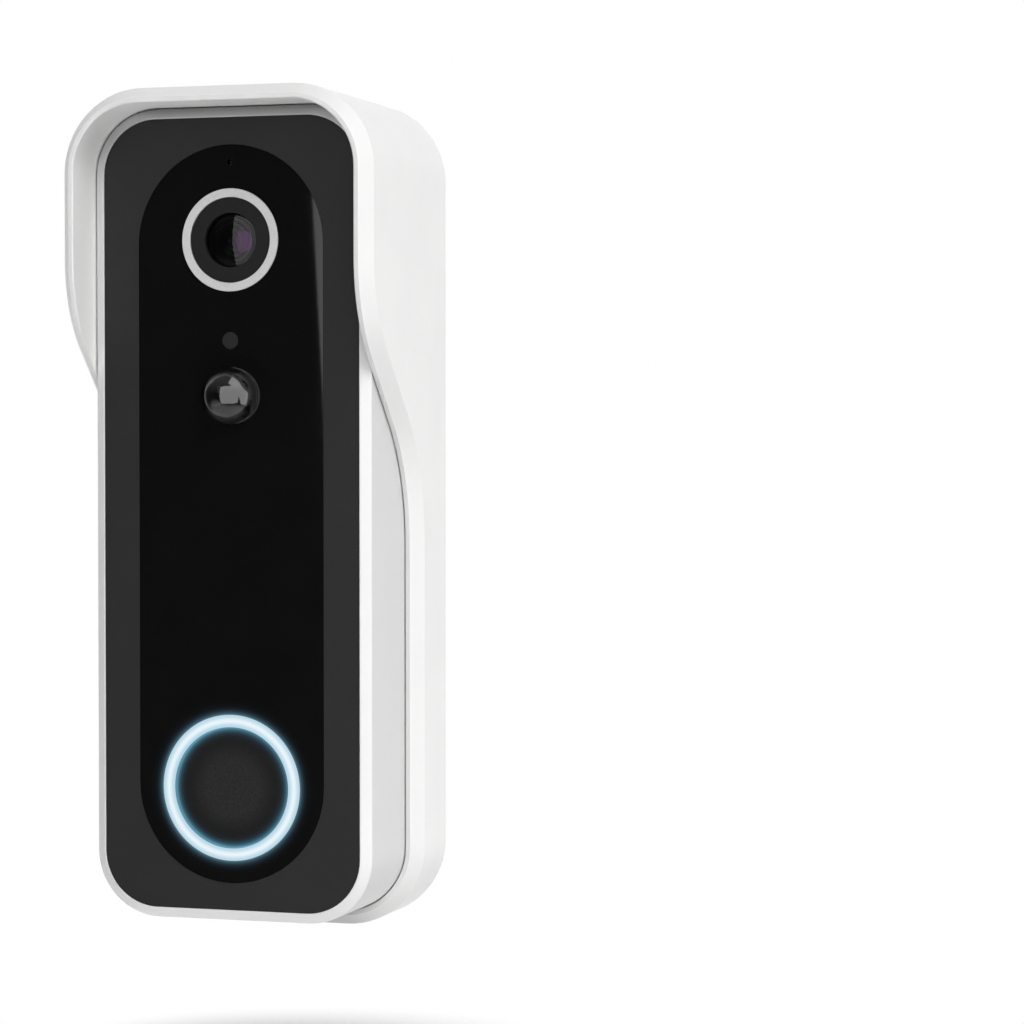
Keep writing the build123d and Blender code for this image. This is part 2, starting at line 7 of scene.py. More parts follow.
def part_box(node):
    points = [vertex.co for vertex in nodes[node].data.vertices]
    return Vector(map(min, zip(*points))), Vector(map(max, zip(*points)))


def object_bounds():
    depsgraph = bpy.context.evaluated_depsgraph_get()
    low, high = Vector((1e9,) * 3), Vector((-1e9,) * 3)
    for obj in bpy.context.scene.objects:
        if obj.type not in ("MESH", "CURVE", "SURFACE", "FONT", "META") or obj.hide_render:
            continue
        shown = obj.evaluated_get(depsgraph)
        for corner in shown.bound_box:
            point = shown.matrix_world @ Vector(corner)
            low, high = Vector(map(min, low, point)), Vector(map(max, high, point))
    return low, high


# Video doorbell in its rain hood: finishes, studio light and camera. Metres, in the frame of the solids.
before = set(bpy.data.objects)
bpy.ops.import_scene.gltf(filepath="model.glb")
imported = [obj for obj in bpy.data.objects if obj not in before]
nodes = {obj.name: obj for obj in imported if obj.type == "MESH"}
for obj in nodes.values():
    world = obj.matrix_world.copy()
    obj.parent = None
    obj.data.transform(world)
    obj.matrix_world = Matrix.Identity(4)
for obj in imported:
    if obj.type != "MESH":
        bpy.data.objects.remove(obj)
cadBox = [list(corner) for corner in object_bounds()]


def middleOf(node):
    low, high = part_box(node)
    return (low + high) / 2


flatness = 0.00001  # what still counts as one flat face


def frontRadii(node):
    # inner and outer radius of a ring's flat front
    middle = middleOf(node)
    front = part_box(node)[0].y + flatness
    places = [corner.co - middle for corner in nodes[node].data.vertices if corner.co.y < front]
    reach = [math.hypot(place.x, place.z) for place in places]
    return min(reach), max(reach)


lensAxis = middleOf("lens_ring")
guideAxis = middleOf("light_guide")
buttonAxis = middleOf("button_cap")
domeMiddle = middleOf("motion_lens")
sensorMiddle = middleOf("image_sensor")
ringInner, ringOuter = frontRadii("light_ring")
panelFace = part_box("front_panel")[0].y
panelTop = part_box("front_panel")[1].z
housingFoot, housingTop = (corner.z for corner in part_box("front_housing"))


class Wire:
    # one socket, so that shader maths reads as plain sums
    def __init__(self, graph, socket):
        self.graph = graph
        self.socket = socket

    def sum(self, operation, *values):
        inputs = dict(enumerate(values))
        return self.graph.node("ShaderNodeMath", {"operation": operation}, inputs)

    def __add__(self, other):
        return self.sum("ADD", self, other)

    def __radd__(self, other):
        return self.sum("ADD", other, self)

    def __sub__(self, other):
        return self.sum("SUBTRACT", self, other)

    def __rsub__(self, other):
        return self.sum("SUBTRACT", other, self)

    def __mul__(self, other):
        return self.sum("MULTIPLY", self, other)

    def __rmul__(self, other):
        return self.sum("MULTIPLY", other, self)

    def __truediv__(self, other):
        return self.sum("DIVIDE", self, other)

    def __rtruediv__(self, other):
        return self.sum("DIVIDE", other, self)

    def power(self, other):
        return self.sum("POWER", self, other)

    def exp(self):
        return self.sum("EXPONENT", self)

    def sine(self):
        return self.sum("SINE", self)

    def size(self):
        return self.sum("ABSOLUTE", self)

    def above(self, edge):
        return self.sum("GREATER_THAN", self, edge)

    def most(self, other):
        return self.sum("MAXIMUM", self, other)

    def waves(self, pitch):
        return (self * (2 * math.pi / pitch)).sine()

    def swing(self, amount):
        # noise made to vary round zero
        return (self - 0.5) * amount

    def patches(self, spread):
        # noise drawn out to its full range
        return self.ramp(0.5 - spread, 0.5 + spread)

    def ramp(self, start, end, low=0.0, high=1.0):
        # eased from low at start to high at end
        settings = {"interpolation_type": "SMOOTHSTEP"}
        inputs = {"Value": self, "From Min": start, "From Max": end, "To Min": low, "To Max": high}
        return self.graph.node("ShaderNodeMapRange", settings, inputs)


class Graph:
    # the node tree of a material, a lamp or the world
    def __init__(self, owner):
        owner.use_nodes = True
        self.owner = owner
        self.tree = owner.node_tree
        self.tree.nodes.clear()

    def node(self, kind, settings=None, inputs=None, output=0):
        made = self.tree.nodes.new(kind)
        for name, value in (settings or {}).items():
            setattr(made, name, value)
        for name, value in (inputs or {}).items():
            self.feed(made.inputs[name], value)
        return Wire(self, made.outputs[output]) if made.outputs else None

    def feed(self, socket, value):
        if isinstance(value, Wire):
            self.tree.links.new(value.socket, socket)
        elif socket.type == "RGBA":
            socket.default_value = (*value, 1.0)
        else:
            socket.default_value = value

    def place(self):
        return self.node("ShaderNodeTexCoord", output="Object")

    def split(self, vector, axis):
        return self.node("ShaderNodeSeparateXYZ", inputs={0: vector}, output=axis)

    def along(self, axis):
        return self.split(self.place(), axis)

    def dot(self, first, second):
        settings = {"operation": "DOT_PRODUCT"}
        return self.node("ShaderNodeVectorMath", settings, {0: first, 1: second}, "Value")

    def reach(self, centre):
        # distance from an axis that runs into the wall
        x = self.along("X") - centre.x
        z = self.along("Z") - centre.z
        return (x * x + z * z).power(0.5)

    def noise(self, grainSize, detail=2.0, rough=0.5, stretch=None):
        where = self.place()
        if stretch:
            where = self.node("ShaderNodeVectorMath", {"operation": "MULTIPLY"}, {0: where, 1: stretch})
        inputs = {"Vector": where, "Scale": 1.0 / grainSize, "Detail": detail, "Roughness": rough}
        return self.node("ShaderNodeTexNoise", inputs=inputs)

    def cells(self, cellSize):
        inputs = {"Vector": self.place(), "Scale": 1.0 / cellSize}
        return self.node("ShaderNodeTexVoronoi", inputs=inputs)

    def blend(self, amount, first, second):
        # 6, 7 and 2 are the sockets that the node keeps for colours
        inputs = {"Factor": amount, 6: first, 7: second}
        return self.node("ShaderNodeMix", {"data_type": "RGBA"}, inputs, 2)

    def tint(self, colour, amount):
        # a colour times a value
        return self.blend(amount, (0.0, 0.0, 0.0), colour)

    def bump(self, height, depth):
        inputs = {"Height": height, "Distance": depth, "Strength": 1.0}
        return self.node("ShaderNodeBump", inputs=inputs)

    def rays(self, kind):
        return self.node("ShaderNodeLightPath", output="Is " + kind + " Ray")

    def either(self, amount, first, second):
        # two whole surfaces, mixed
        return self.node("ShaderNodeMixShader", inputs={"Fac": amount, 1: first, 2: second})

    def skin(self, **sockets):
        # the surface itself; names are the shader's own, with _ for a space
        inputs = {name.replace("_", " "): value for name, value in sockets.items()}
        surface = self.node("ShaderNodeBsdfPrincipled", inputs=inputs)
        self.node("ShaderNodeOutputMaterial", inputs={"Surface": surface})
        return self.owner


def finish(name):
    return Graph(bpy.data.materials.new(name))


# In the settings, Depth is the height of a bump, Swing how far the roughness varies, Spread how much
# of a noise is drawn out to full range, and Edge where a change starts and where it ends.
plasticIndex = 1.5

lipSettings = {
    "lipShade": (0.50, 0.50, 0.495),  # painted shade on the hood's lower bevel, under the unit
    "acrossEdge": (0.0225, 0.0130),  # thins out round the lower corners
    "heightEdge": (0.0032, 0.0012),  # over the foot of the housing
    "frontEdge": (-0.0110, -0.0125),  # only the bevel, not the wall behind it
}


# Painted shade: darkens the hood's lower bevel where the unit above shadows it.
def lowerLip(paint, tone):
    look = lipSettings
    across = paint.along("X").size().ramp(*look["acrossEdge"])
    height = (paint.along("Z") - housingFoot).ramp(*look["heightEdge"])
    front = paint.along("Y").ramp(*look["frontEdge"])
    return paint.blend(across * height * front, tone, look["lipShade"])


borderSettings = {
    "dustAndShade": (0.30, 0.30, 0.295),  # painted shade on the border's upper slope, under the brow
    "shadeReach": 0.012,  # how far it thins out below the panel's upper edge
    "shadeBase": 0.40,  # share of it at the panel's edge
    "slope": 0.0011,  # how far the border slopes back from the panel's face
    "slopeBlur": 0.0001,
    "wall": (0.66, 0.66, 0.66),  # housing behind the slope
}


# Painted shade on the border's upper slope under the brow; the walls behind the slope get a darker tone.
def slopingBorder(paint, tone):
    look = borderSettings
    height = paint.along("Z")
    thin = height.ramp(panelTop - look["shadeReach"], panelTop) * look["shadeBase"]
    thick = height.ramp(panelTop, housingTop) * (1.0 - look["shadeBase"])
    shaded = paint.blend(thin + thick, tone, look["dustAndShade"])
    slopeEnd = panelFace + look["slope"]
    behindSlope = paint.along("Y").ramp(slopeEnd - look["slopeBlur"], slopeEnd + look["slopeBlur"])
    return paint.blend(behindSlope, shaded, look["wall"])


whiteSettings = {
    "hoodWhite": {"colour": (0.835, 0.835, 0.83), "shade": (0.81, 0.81, 0.807), "roughness": 0.36},
    "housingWhite": {"colour": (0.885, 0.885, 0.882), "shade": (0.865, 0.865, 0.862), "roughness": 0.34},
    "coverWhite": {"colour": (0.80, 0.80, 0.795), "shade": (0.765, 0.765, 0.76), "roughness": 0.46},
    "flow": 0.018,  # slow change of tone across the moulding
    "flowSpread": 0.2,
    "flowSwing": 0.05,
    "grain": 0.00022,  # spark-eroded texture of the mould
    "grainDepth": 0.0000035,
    "grainSwing": 0.12,
}


# The optional function paints shade into the tone, as lowerLip and slopingBorder do.
def whitePlastic(name, paintedShade=None):
    look = whiteSettings | whiteSettings[name]
    paint = finish(name)
    flow = paint.noise(look["flow"], detail=3.0)
    grain = paint.noise(look["grain"], detail=3.0, rough=0.6)
    tone = paint.blend(flow.patches(look["flowSpread"]), look["shade"], look["colour"])
    return paint.skin(
        Base_Color=paintedShade(paint, tone) if paintedShade else tone,
        Roughness=look["roughness"] + grain.swing(look["grainSwing"]) + flow.swing(look["flowSwing"]),
        Normal=paint.bump(grain, look["grainDepth"]),
        IOR=plasticIndex,
    )


darkSettings = {
    "panelDark": {
        "colour": (0.0088, 0.0088, 0.0090),
        "shade": (0.0072, 0.0072, 0.0074),
        "grain": 0.00030,
        "grainDepth": 0.000009,
        "roughness": 0.56,
        "sheen": 0.32,
    },
    "bezelDark": {
        "colour": (0.0060, 0.0060, 0.0062),
        "shade": (0.0050, 0.0050, 0.0052),
        "grain": 0.00022,
        "grainDepth": 0.000005,
        "roughness": 0.52,
        "sheen": 0.20,
    },
    "grainSwing": 0.16,
    "cloud": 0.012,
    "cloudSpread": 0.2,
}


def matteDark(name):
    look = darkSettings | darkSettings[name]
    paint = finish(name)
    grain = paint.noise(look["grain"], detail=4.0, rough=0.65)
    cloud = paint.noise(look["cloud"], detail=3.0)
    return paint.skin(
        Base_Color=paint.blend(cloud.patches(look["cloudSpread"]), look["shade"], look["colour"]),
        Roughness=look["roughness"] + grain.swing(look["grainSwing"]),
        Normal=paint.bump(grain, look["grainDepth"]),
        Specular_IOR_Level=look["sheen"],
    )


glowSettings = {
    "core": (0.79, 0.88, 0.91),
    "rim": (0.47, 0.66, 0.77),
    "rimEdge": (0.0, 0.85),  # shares of the half width
    "wall": (0.085, 0.23, 0.31),
    "wallEdge": (0.00002, 0.00014),  # behind the panel's face
    "unlit": (0.018, 0.021, 0.023),
    "unlitSpot": (0.024, 0.027, 0.029),
    "spot": 0.004,
    "spotSwing": 0.1,
    "roughness": 0.34,
    "sheen": 0.25,
    "haloOut": {"colour": (0.095, 0.20, 0.265), "fade": 0.00036},  # painted glow over the window
    "haloIn": {"colour": (0.14, 0.43, 0.61), "fade": 0.00038},  # painted glow over the cap
}


def glowingRing():
    look = glowSettings
    paint = finish("lightWhite")
    middle = (ringOuter + ringInner) / 2
    half = (ringOuter - ringInner) / 2
    away = (paint.reach(buttonAxis) - middle).size() / half
    spots = paint.noise(look["spot"])
    face = paint.blend(away.ramp(*look["rimEdge"]), look["core"], look["rim"])
    behind = (paint.along("Y") - panelFace).ramp(*look["wallEdge"])
    return paint.skin(
        Base_Color=paint.blend(spots, look["unlit"], look["unlitSpot"]),
        Roughness=look["roughness"] + spots.swing(look["spotSwing"]),
        Specular_IOR_Level=look["sheen"],
        Emission_Color=paint.blend(behind, face, look["wall"]),
        Emission_Strength=1.0,
    )


# Painted glow: the ring's light spilling onto the window and the cap, drawn as their own emission.
def halo(paint, gap, side):
    look = glowSettings[side]
    return paint.tint(look["colour"], (gap.most(0.0) / -look["fade"]).exp())


windowSettings = {
    "colour": (0.0034, 0.0034, 0.0036),
    "smeared": (0.0039, 0.0039, 0.0041),
    "smear": 0.009,
    "smearSpread": 0.15,
    "smearEdge": (0.45, 0.8),
    "smearRoughness": 0.008,
    "polish": 0.018,
    "dustAndShade": 0.0006,
    "dustDepth": 0.00000006,
}


def glossyWindow():
    look = windowSettings
    paint = finish("windowBlack")
    smear = paint.noise(look["smear"], detail=4.0, rough=0.6)
    dustAndShade = paint.noise(look["dustAndShade"])
    reach = paint.reach(buttonAxis)
    return paint.skin(
        Base_Color=paint.blend(smear.patches(look["smearSpread"]), look["colour"], look["smeared"]),
        Roughness=look["polish"] + smear.ramp(*look["smearEdge"]) * look["smearRoughness"],
        Normal=paint.bump(dustAndShade, look["dustDepth"]),
        IOR=plasticIndex,
        Emission_Color=halo(paint, reach - ringOuter, "haloOut"),
        Emission_Strength=1.0,
    )


capSettings = {
    "bright": (0.0170, 0.0170, 0.0168),
    "dull": (0.0065, 0.0065, 0.0066),
    "border": (0.0016, 0.0017, 0.0019),
    "borderEdge": (0.0040, 0.0084),  # painted shade: the cap darkens towards its rim
    "grain": 0.00042,
    "grainDepth": 0.000022,
    "grainSpread": 0.16,
    "grainSwing": 0.3,
    "roughness": 0.54,
    "sheen": 0.20,
}


def darkCap():
    look = capSettings
    paint = finish("capDark")
    grain = paint.noise(look["grain"], detail=5.0, rough=0.75)
    reach = paint.reach(buttonAxis)
    middle = paint.blend(grain.patches(look["grainSpread"]), look["dull"], look["bright"])
    return paint.skin(
        Base_Color=paint.blend(reach.ramp(*look["borderEdge"]), middle, look["border"]),
        Roughness=look["roughness"] + grain.swing(look["grainSwing"]),
        Normal=paint.bump(grain, look["grainDepth"]),
        Specular_IOR_Level=look["sheen"],
        Emission_Color=halo(paint, ringInner - reach, "haloIn"),
        Emission_Strength=1.0,
    )


ringSettings = {
    "colour": (0.655, 0.655, 0.65),
    "shade": (0.62, 0.62, 0.617),
    "fleck": 0.0004,
    "fleckSpread": 0.15,
    "fleckSwing": 0.1,
    "turning": 0.00016,  # spacing of the turned lines
    "turningDepth": 0.0000012,
    "roughness": 0.36,
}


def paleRing():
    look = ringSettings
    paint = finish("ringSilver")
    lines = paint.reach(lensAxis).waves(look["turning"])
    fleck = paint.noise(look["fleck"], detail=3.0)
    return paint.skin(
        Base_Color=paint.blend(fleck.patches(look["fleckSpread"]), look["shade"], look["colour"]),
        Roughness=look["roughness"] + fleck.swing(look["fleckSwing"]),
        Normal=paint.bump(lines, look["turningDepth"]),
        IOR=plasticIndex,
    )


frontGlassSettings = {
    "colour": (0.0010, 0.0012, 0.0011),
    "cover": 0.5,  # share of the glass that mirrors and hides
    "ghost": 0.00085,  # spacing of painted reflection rings, standing for the tube's ridges mirrored faintly in it
    "ghostCover": 0.11,
    "speck": 0.0011,
    "speckEdge": (0.55, 0.8),
    "speckRoughness": 0.02,
    "polish": 0.0,
    "index": 1.58,
}


def frontGlass():
    look = frontGlassSettings
    paint = finish("lensGlass")
    speck = paint.noise(look["speck"])
    ghosts = paint.reach(lensAxis).waves(look["ghost"])
    return paint.skin(
        Base_Color=look["colour"],
        Roughness=speck.ramp(*look["speckEdge"], look["polish"], look["speckRoughness"]),
        IOR=look["index"],
        Alpha=look["cover"] + ghosts * look["ghostCover"],
    )


rearGlassSettings = {
    "colour": (0.0010, 0.0017, 0.0013),
    "glint": (0.0075, 0.0150, 0.0090),  # painted green glint, low at the left
    "glintPlace": Vector((-0.0016, 0.0, -0.0019)),  # from the lens axis
    "glintReach": 0.0018,
    "coating": (0.84, 0.21, 1.0),  # purple anti-glare layer
    "coatingIndex": 5.0,
    "speck": 0.0009,
    "speckEdge": (0.5, 0.8),
    "speckRoughness": 0.04,
    "polish": 0.01,
}


def rearGlass():
    look = rearGlassSettings
    paint = finish("lensCoated")
    speck = paint.noise(look["speck"])
    glint = paint.reach(lensAxis + look["glintPlace"]).ramp(look["glintReach"], 0.0)
    return paint.skin(
        Base_Color=look["colour"],
        Roughness=speck.ramp(*look["speckEdge"], look["polish"], look["speckRoughness"]),
        IOR=look["coatingIndex"],
        Specular_Tint=look["coating"],
        Emission_Color=paint.tint(look["glint"], glint),
        Emission_Strength=1.0,
    )


barrelSettings = {
    "colour": (0.0014, 0.0014, 0.0015),
    "flecked": (0.0022, 0.0022, 0.0023),
    "fleck": 0.0005,
    "fleckSwing": 0.12,
    "ridge": 0.00034,  # spacing of the ridges turned in the tube
    "ridgeDepth": 0.000012,
    "roughness": 0.42,
    "sheen": 0.12,
}


def ridgedBarrel():
    look = barrelSettings
    paint = finish("barrelBlack")
    ridges = paint.reach(lensAxis).waves(look["ridge"])
    fleck = paint.noise(look["fleck"], detail=3.0)
    return paint.skin(
        Base_Color=paint.blend(fleck, look["colour"], look["flecked"]),
        Roughness=look["roughness"] + fleck.swing(look["fleckSwing"]),
        Normal=paint.bump(ridges, look["ridgeDepth"]),
        Specular_IOR_Level=look["sheen"],
    )


filterSettings = {
    "tint": (0.10, 0.30, 0.28),
    "pale": (0.16, 0.36, 0.34),
    "cloud": 0.002,
    "cloudRoughness": 0.05,
    "polish": 0.05,
}


def opticalFilter():
    look = filterSettings
    paint = finish("filterTint")
    cloud = paint.noise(look["cloud"])
    return paint.skin(
        Base_Color=paint.blend(cloud, look["tint"], look["pale"]),
        Roughness=look["polish"] + cloud * look["cloudRoughness"],
        Coat_Weight=1.0,
    )


sensorSettings = {
    "pixels": (0.020, 0.045, 0.040),
    "halfWidth": 0.0030,  # of the field of pixels
    "halfHeight": 0.0024,
    "pitch": 0.00012,
    "pitchDepth": 0.000001,
    "border": (0.30, 0.25, 0.12),  # gilt frame round the field
    "borderEdge": (0.96, 1.0),  # shares of the half width and height
    "borderShine": 0.8,
    "borderRoughness": 0.2,
    "roughness": 0.18,
}


def sensorChip():
    look = sensorSettings
    paint = finish("sensorDark")
    x = (paint.along("X") - sensorMiddle.x).size() / look["halfWidth"]
    z = (paint.along("Z") - sensorMiddle.z).size() / look["halfHeight"]
    border = x.most(z).ramp(*look["borderEdge"])
    columns = paint.along("X").waves(look["pitch"])
    return paint.skin(
        Base_Color=paint.blend(border, look["pixels"], look["border"]),
        Metallic=border * look["borderShine"],
        Roughness=look["roughness"] + border * look["borderRoughness"],
        Normal=paint.bump(columns, look["pitchDepth"]),
    )


domeSettings = {
    "smoke": (0.055, 0.056, 0.058),
    "pale": (0.065, 0.066, 0.068),
    "ripple": 0.0016,
    "rippleDepth": 0.0000006,
    "rippleEdge": (0.5, 0.9),
    "rippleRoughness": 0.02,
    "polish": 0.012,
    "index": 1.85,
}


def smokedDome():
    look = domeSettings
    paint = finish("domeDark")
    ripple = paint.noise(look["ripple"])
    return paint.skin(
        Base_Color=paint.blend(ripple, look["smoke"], look["pale"]),
        Roughness=look["polish"] + ripple.ramp(*look["rippleEdge"]) * look["rippleRoughness"],
        Normal=paint.bump(ripple, look["rippleDepth"]),
        Transmission_Weight=1.0,
        IOR=look["index"],
    )


guideSettings = {
    "middle": (0.0045, 0.0045, 0.0047),
    "rim": (0.0034, 0.0034, 0.0036),
    "rimEdge": (0.0011, 0.00143),  # out to the guide's own radius
    "fleck": 0.0003,
    "fleckDepth": 0.000003,
    "fleckSwing": 0.15,
    "roughness": 0.30,
    "sheen": 0.34,
}


def smokedGuide():
    look = guideSettings
    paint = finish("guideSmoke")
    fleck = paint.noise(look["fleck"], detail=3.0)
    rim = paint.reach(guideAxis).ramp(*look["rimEdge"])
    return paint.skin(
        Base_Color=paint.blend(rim, look["middle"], look["rim"]),
        Roughness=look["roughness"] + fleck.swing(look["fleckSwing"]),
        Normal=paint.bump(fleck, look["fleckDepth"]),
        Specular_IOR_Level=look["sheen"],
    )


boardSettings = {
    "mask": (0.010, 0.085, 0.035),
    "track": (0.022, 0.150, 0.060),
    "trackPitch": 0.0018,
    "trackWidth": 0.11,  # width, length and row are in pitches
    "trackLength": 2.6,
    "trackRow": 0.55,
    "trackBlur": 0.1,
    "trackDepth": 0.00002,
    "pad": (0.62, 0.50, 0.22),
    "padSpacing": 0.0034,
    "padEdge": (0.16, 0.11),  # shares of that spacing
    "padShine": 0.9,
    "weave": 0.0005,
    "weaveShare": 0.2,  # of the bump
    "weaveSwing": 0.12,
    "roughness": 0.34,
}


def circuitBoard():
    look = boardSettings
    paint = finish("boardGreen")
    inputs = {
        "Vector": paint.node("ShaderNodeCombineXYZ", inputs={0: paint.along("X"), 1: paint.along("Z")}),
        "Scale": 1.0 / look["trackPitch"],
        "Mortar Size": look["trackWidth"],
        "Mortar Smooth": look["trackBlur"],
        "Brick Width": look["trackLength"],
        "Row Height": look["trackRow"],
    }
    track = paint.node("ShaderNodeTexBrick", inputs=inputs, output="Fac")
    pad = paint.cells(look["padSpacing"]).ramp(*look["padEdge"])
    weave = paint.noise(look["weave"], detail=3.0)
    mask = paint.blend(track, look["mask"], look["track"])
    return paint.skin(
        Base_Color=paint.blend(pad, mask, look["pad"]),
        Metallic=pad * look["padShine"],
        Roughness=look["roughness"] + weave.swing(look["weaveSwing"]),
        Normal=paint.bump(track + weave * look["weaveShare"], look["trackDepth"]),
    )


chipSettings = {
    "colour": (0.016, 0.016, 0.017),
    "dot": (0.045, 0.045, 0.046),  # moulded mark at one corner
    "dotPlace": Vector((-0.003, 0.0, 0.0022)),  # from the chip's middle
    "dotEdge": (0.00055, 0.0004),
    "dotPolish": 0.3,
    "grain": 0.00012,
    "grainDepth": 0.00002,
    "grainSwing": 0.15,
    "roughness": 0.55,
}


def mouldedChip(name, node):
    look = chipSettings
    paint = finish(name)
    grain = paint.noise(look["grain"], detail=4.0, rough=0.7)
    dot = paint.reach(middleOf(node) + look["dotPlace"]).ramp(*look["dotEdge"])
    return paint.skin(
        Base_Color=paint.blend(dot, look["colour"], look["dot"]),
        Roughness=look["roughness"] - dot * look["dotPolish"] + grain.swing(look["grainSwing"]),
        Normal=paint.bump(grain - dot, look["grainDepth"]),
    )


metalSettings = {
    "shieldMetal": {"colour": (0.62, 0.62, 0.61), "shade": (0.52, 0.52, 0.51), "roughness": 0.34},
    "contactMetal": {"colour": (0.66, 0.60, 0.46), "shade": (0.55, 0.50, 0.38), "roughness": 0.30},
    "screwSteel": {"colour": (0.56, 0.55, 0.53), "shade": (0.45, 0.44, 0.43), "roughness": 0.28},
    "brush": 0.0009,
    "brushStretch": (0.12, 1.0, 1.0),  # long marks from side to side
    "brushDepth": 0.000004,
    "brushSwing": 0.18,
    "stain": 0.006,
    "stainSpread": 0.2,
}


def rolledMetal(name):
    look = metalSettings | metalSettings[name]
    paint = finish(name)
    brush = paint.noise(look["brush"], detail=4.0, rough=0.6, stretch=look["brushStretch"])
    stain = paint.noise(look["stain"], detail=3.0)
    return paint.skin(
        Base_Color=paint.blend(stain.patches(look["stainSpread"]), look["shade"], look["colour"]),
        Metallic=1.0,
        Roughness=look["roughness"] + brush.swing(look["brushSwing"]),
        Normal=paint.bump(brush, look["brushDepth"]),
    )


lampSettings = {
    "yellow": (0.62, 0.56, 0.30),
    "pale": (0.78, 0.76, 0.66),
    "cloud": 0.0006,
    "cloudDepth": 0.00001,
    "cloudSpread": 0.15,
    "cloudSwing": 0.1,
    "roughness": 0.22,
}


def clearLamp():
    look = lampSettings
    paint = finish("ledClear")
    cloud = paint.noise(look["cloud"], detail=3.0)
    return paint.skin(
        Base_Color=paint.blend(cloud.patches(look["cloudSpread"]), look["yellow"], look["pale"]),
        Roughness=look["roughness"] + cloud.swing(look["cloudSwing"]),
        Normal=paint.bump(cloud, look["cloudDepth"]),
    )


wrapSettings = {
    "colour": (0.030, 0.070, 0.135),
    "flecked": (0.036, 0.080, 0.150),
    "fleck": 0.0004,
    "band": (0.30, 0.31, 0.32),  # round the lower end
    "bandPlace": 0.03,  # where it starts, away from the frame's origin
    "bandBlur": 0.0003,
    "crease": 0.005,
    "creaseStretch": (1.0, 1.0, 0.25),  # long marks up and down
    "creaseDepth": 0.00012,
    "creaseSwing": 0.2,
    "roughness": 0.32,
}


def batteryWrap():
    look = wrapSettings
    paint = finish("batteryWrap")
    crease = paint.noise(look["crease"], detail=4.0, rough=0.55, stretch=look["creaseStretch"])
    fleck = paint.noise(look["fleck"])
    band = (paint.along("Z").size() - look["bandPlace"]).ramp(-look["bandBlur"], look["bandBlur"])
    body = paint.blend(fleck, look["colour"], look["flecked"])
    return paint.skin(
        Base_Color=paint.blend(band, body, look["band"]),
        Roughness=look["roughness"] + crease.swing(look["creaseSwing"]),
        Normal=paint.bump(crease, look["creaseDepth"]),
    )


foamSettings = {
    "hollow": (0.012, 0.012, 0.013),
    "wall": (0.05, 0.05, 0.052),
    "cell": 0.0006,
    "cellDepth": 0.00012,
    "cellPolish": 0.1,
    "roughness": 0.85,
}


def foamPad():
    look = foamSettings
    paint = finish("padFoam")
    cell = paint.cells(look["cell"])
    return paint.skin(
        Base_Color=paint.blend(cell, look["hollow"], look["wall"]),
        Roughness=look["roughness"] - cell * look["cellPolish"],
        Normal=paint.bump(cell, look["cellDepth"]),
    )


leadSettings = {
    "left": (0.42, 0.016, 0.014),
    "right": (0.014, 0.014, 0.015),
    "grain": 0.0003,
    "grainDepth": 0.000006,
    "grainSwing": 0.15,
    "roughness": 0.42,
}


def twoLeads():
    look = leadSettings
    paint = finish("leadRed")
    grain = paint.noise(look["grain"], detail=3.0)
    side = paint.along("X").above(0.0)
    return paint.skin(
        Base_Color=paint.blend(side, look["left"], look["right"]),
        Roughness=look["roughness"] + grain.swing(look["grainSwing"]),
        Normal=paint.bump(grain, look["grainDepth"]),
    )


filmSettings = {
    "amber": (0.30, 0.115, 0.018),
    "track": (0.46, 0.22, 0.06),
    "trackPitch": 0.0042,
    "trackCut": 0.35,  # higher gives narrower tracks
    "trackDepth": 0.000012,
    "trackShine": 0.6,
    "grain": 0.0003,
    "grainSwing": 0.15,
    "roughness": 0.30,
}


def amberFilm():
    look = filmSettings
    paint = finish("filmAmber")
    track = paint.along("Z").waves(look["trackPitch"]).above(look["trackCut"])
    grain = paint.noise(look["grain"], detail=3.0)
    return paint.skin(
        Base_Color=paint.blend(track, look["amber"], look["track"]),
        Metallic=track * look["trackShine"],
        Roughness=look["roughness"] + grain.swing(look["grainSwing"]),
        Normal=paint.bump(track, look["trackDepth"]),
    )


meshSettings = {
    "hole": (0.010, 0.010, 0.011),
    "thread": (0.085, 0.085, 0.09),
    "threadPitch": 0.0006,
    "threadEdge": (-0.2, 0.8),
    "threadDepth": 0.00006,
    "threadPolish": 0.08,
    "roughness": 0.62,
}


def wovenMesh():
    look = meshSettings
    paint = finish("meshGrey")
    warp = paint.along("X").waves(look["threadPitch"])
    weft = paint.along("Y").waves(look["threadPitch"])
    thread = warp.most(weft)
    return paint.skin(
        Base_Color=paint.blend(thread.ramp(*look["threadEdge"]), look["hole"], look["thread"]),
        Roughness=look["roughness"] - thread * look["threadPolish"],
        Normal=paint.bump(thread, look["threadDepth"]),
    )


nylonSettings = {
    "plugWhite": {"colour": (0.74, 0.73, 0.69), "shade": (0.68, 0.67, 0.63)},
    "plungerDark": {"colour": (0.06, 0.06, 0.062), "shade": (0.045, 0.045, 0.047)},
    "grain": 0.00025,
    "grainDepth": 0.000006,
    "grainSwing": 0.15,
    "roughness": 0.48,
}


def nylon(name):
    look = nylonSettings | nylonSettings[name]
    paint = finish(name)
    grain = paint.noise(look["grain"], detail=3.0)
    return paint.skin(
        Base_Color=paint.blend(grain, look["shade"], look["colour"]),
        Roughness=look["roughness"] + grain.swing(look["grainSwing"]),
        Normal=paint.bump(grain, look["grainDepth"]),
    )


rubberSettings = {
    "cableBlack": {"colour": (0.020, 0.020, 0.021), "shade": (0.015, 0.015, 0.016)},
    "speakerBlack": {"colour": (0.024, 0.024, 0.025), "shade": (0.018, 0.018, 0.019)},
    "flapRubber": {"colour": (0.70, 0.70, 0.695), "shade": (0.66, 0.66, 0.655)},
    "sealRubber": {"colour": (0.10, 0.10, 0.102), "shade": (0.08, 0.08, 0.082)},
    "grain": 0.00018,
    "grainDepth": 0.000008,
    "grainSwing": 0.2,
    "bloom": 0.004,
    "bloomSpread": 0.2,
    "roughness": 0.68,
    "sheen": 0.35,
}


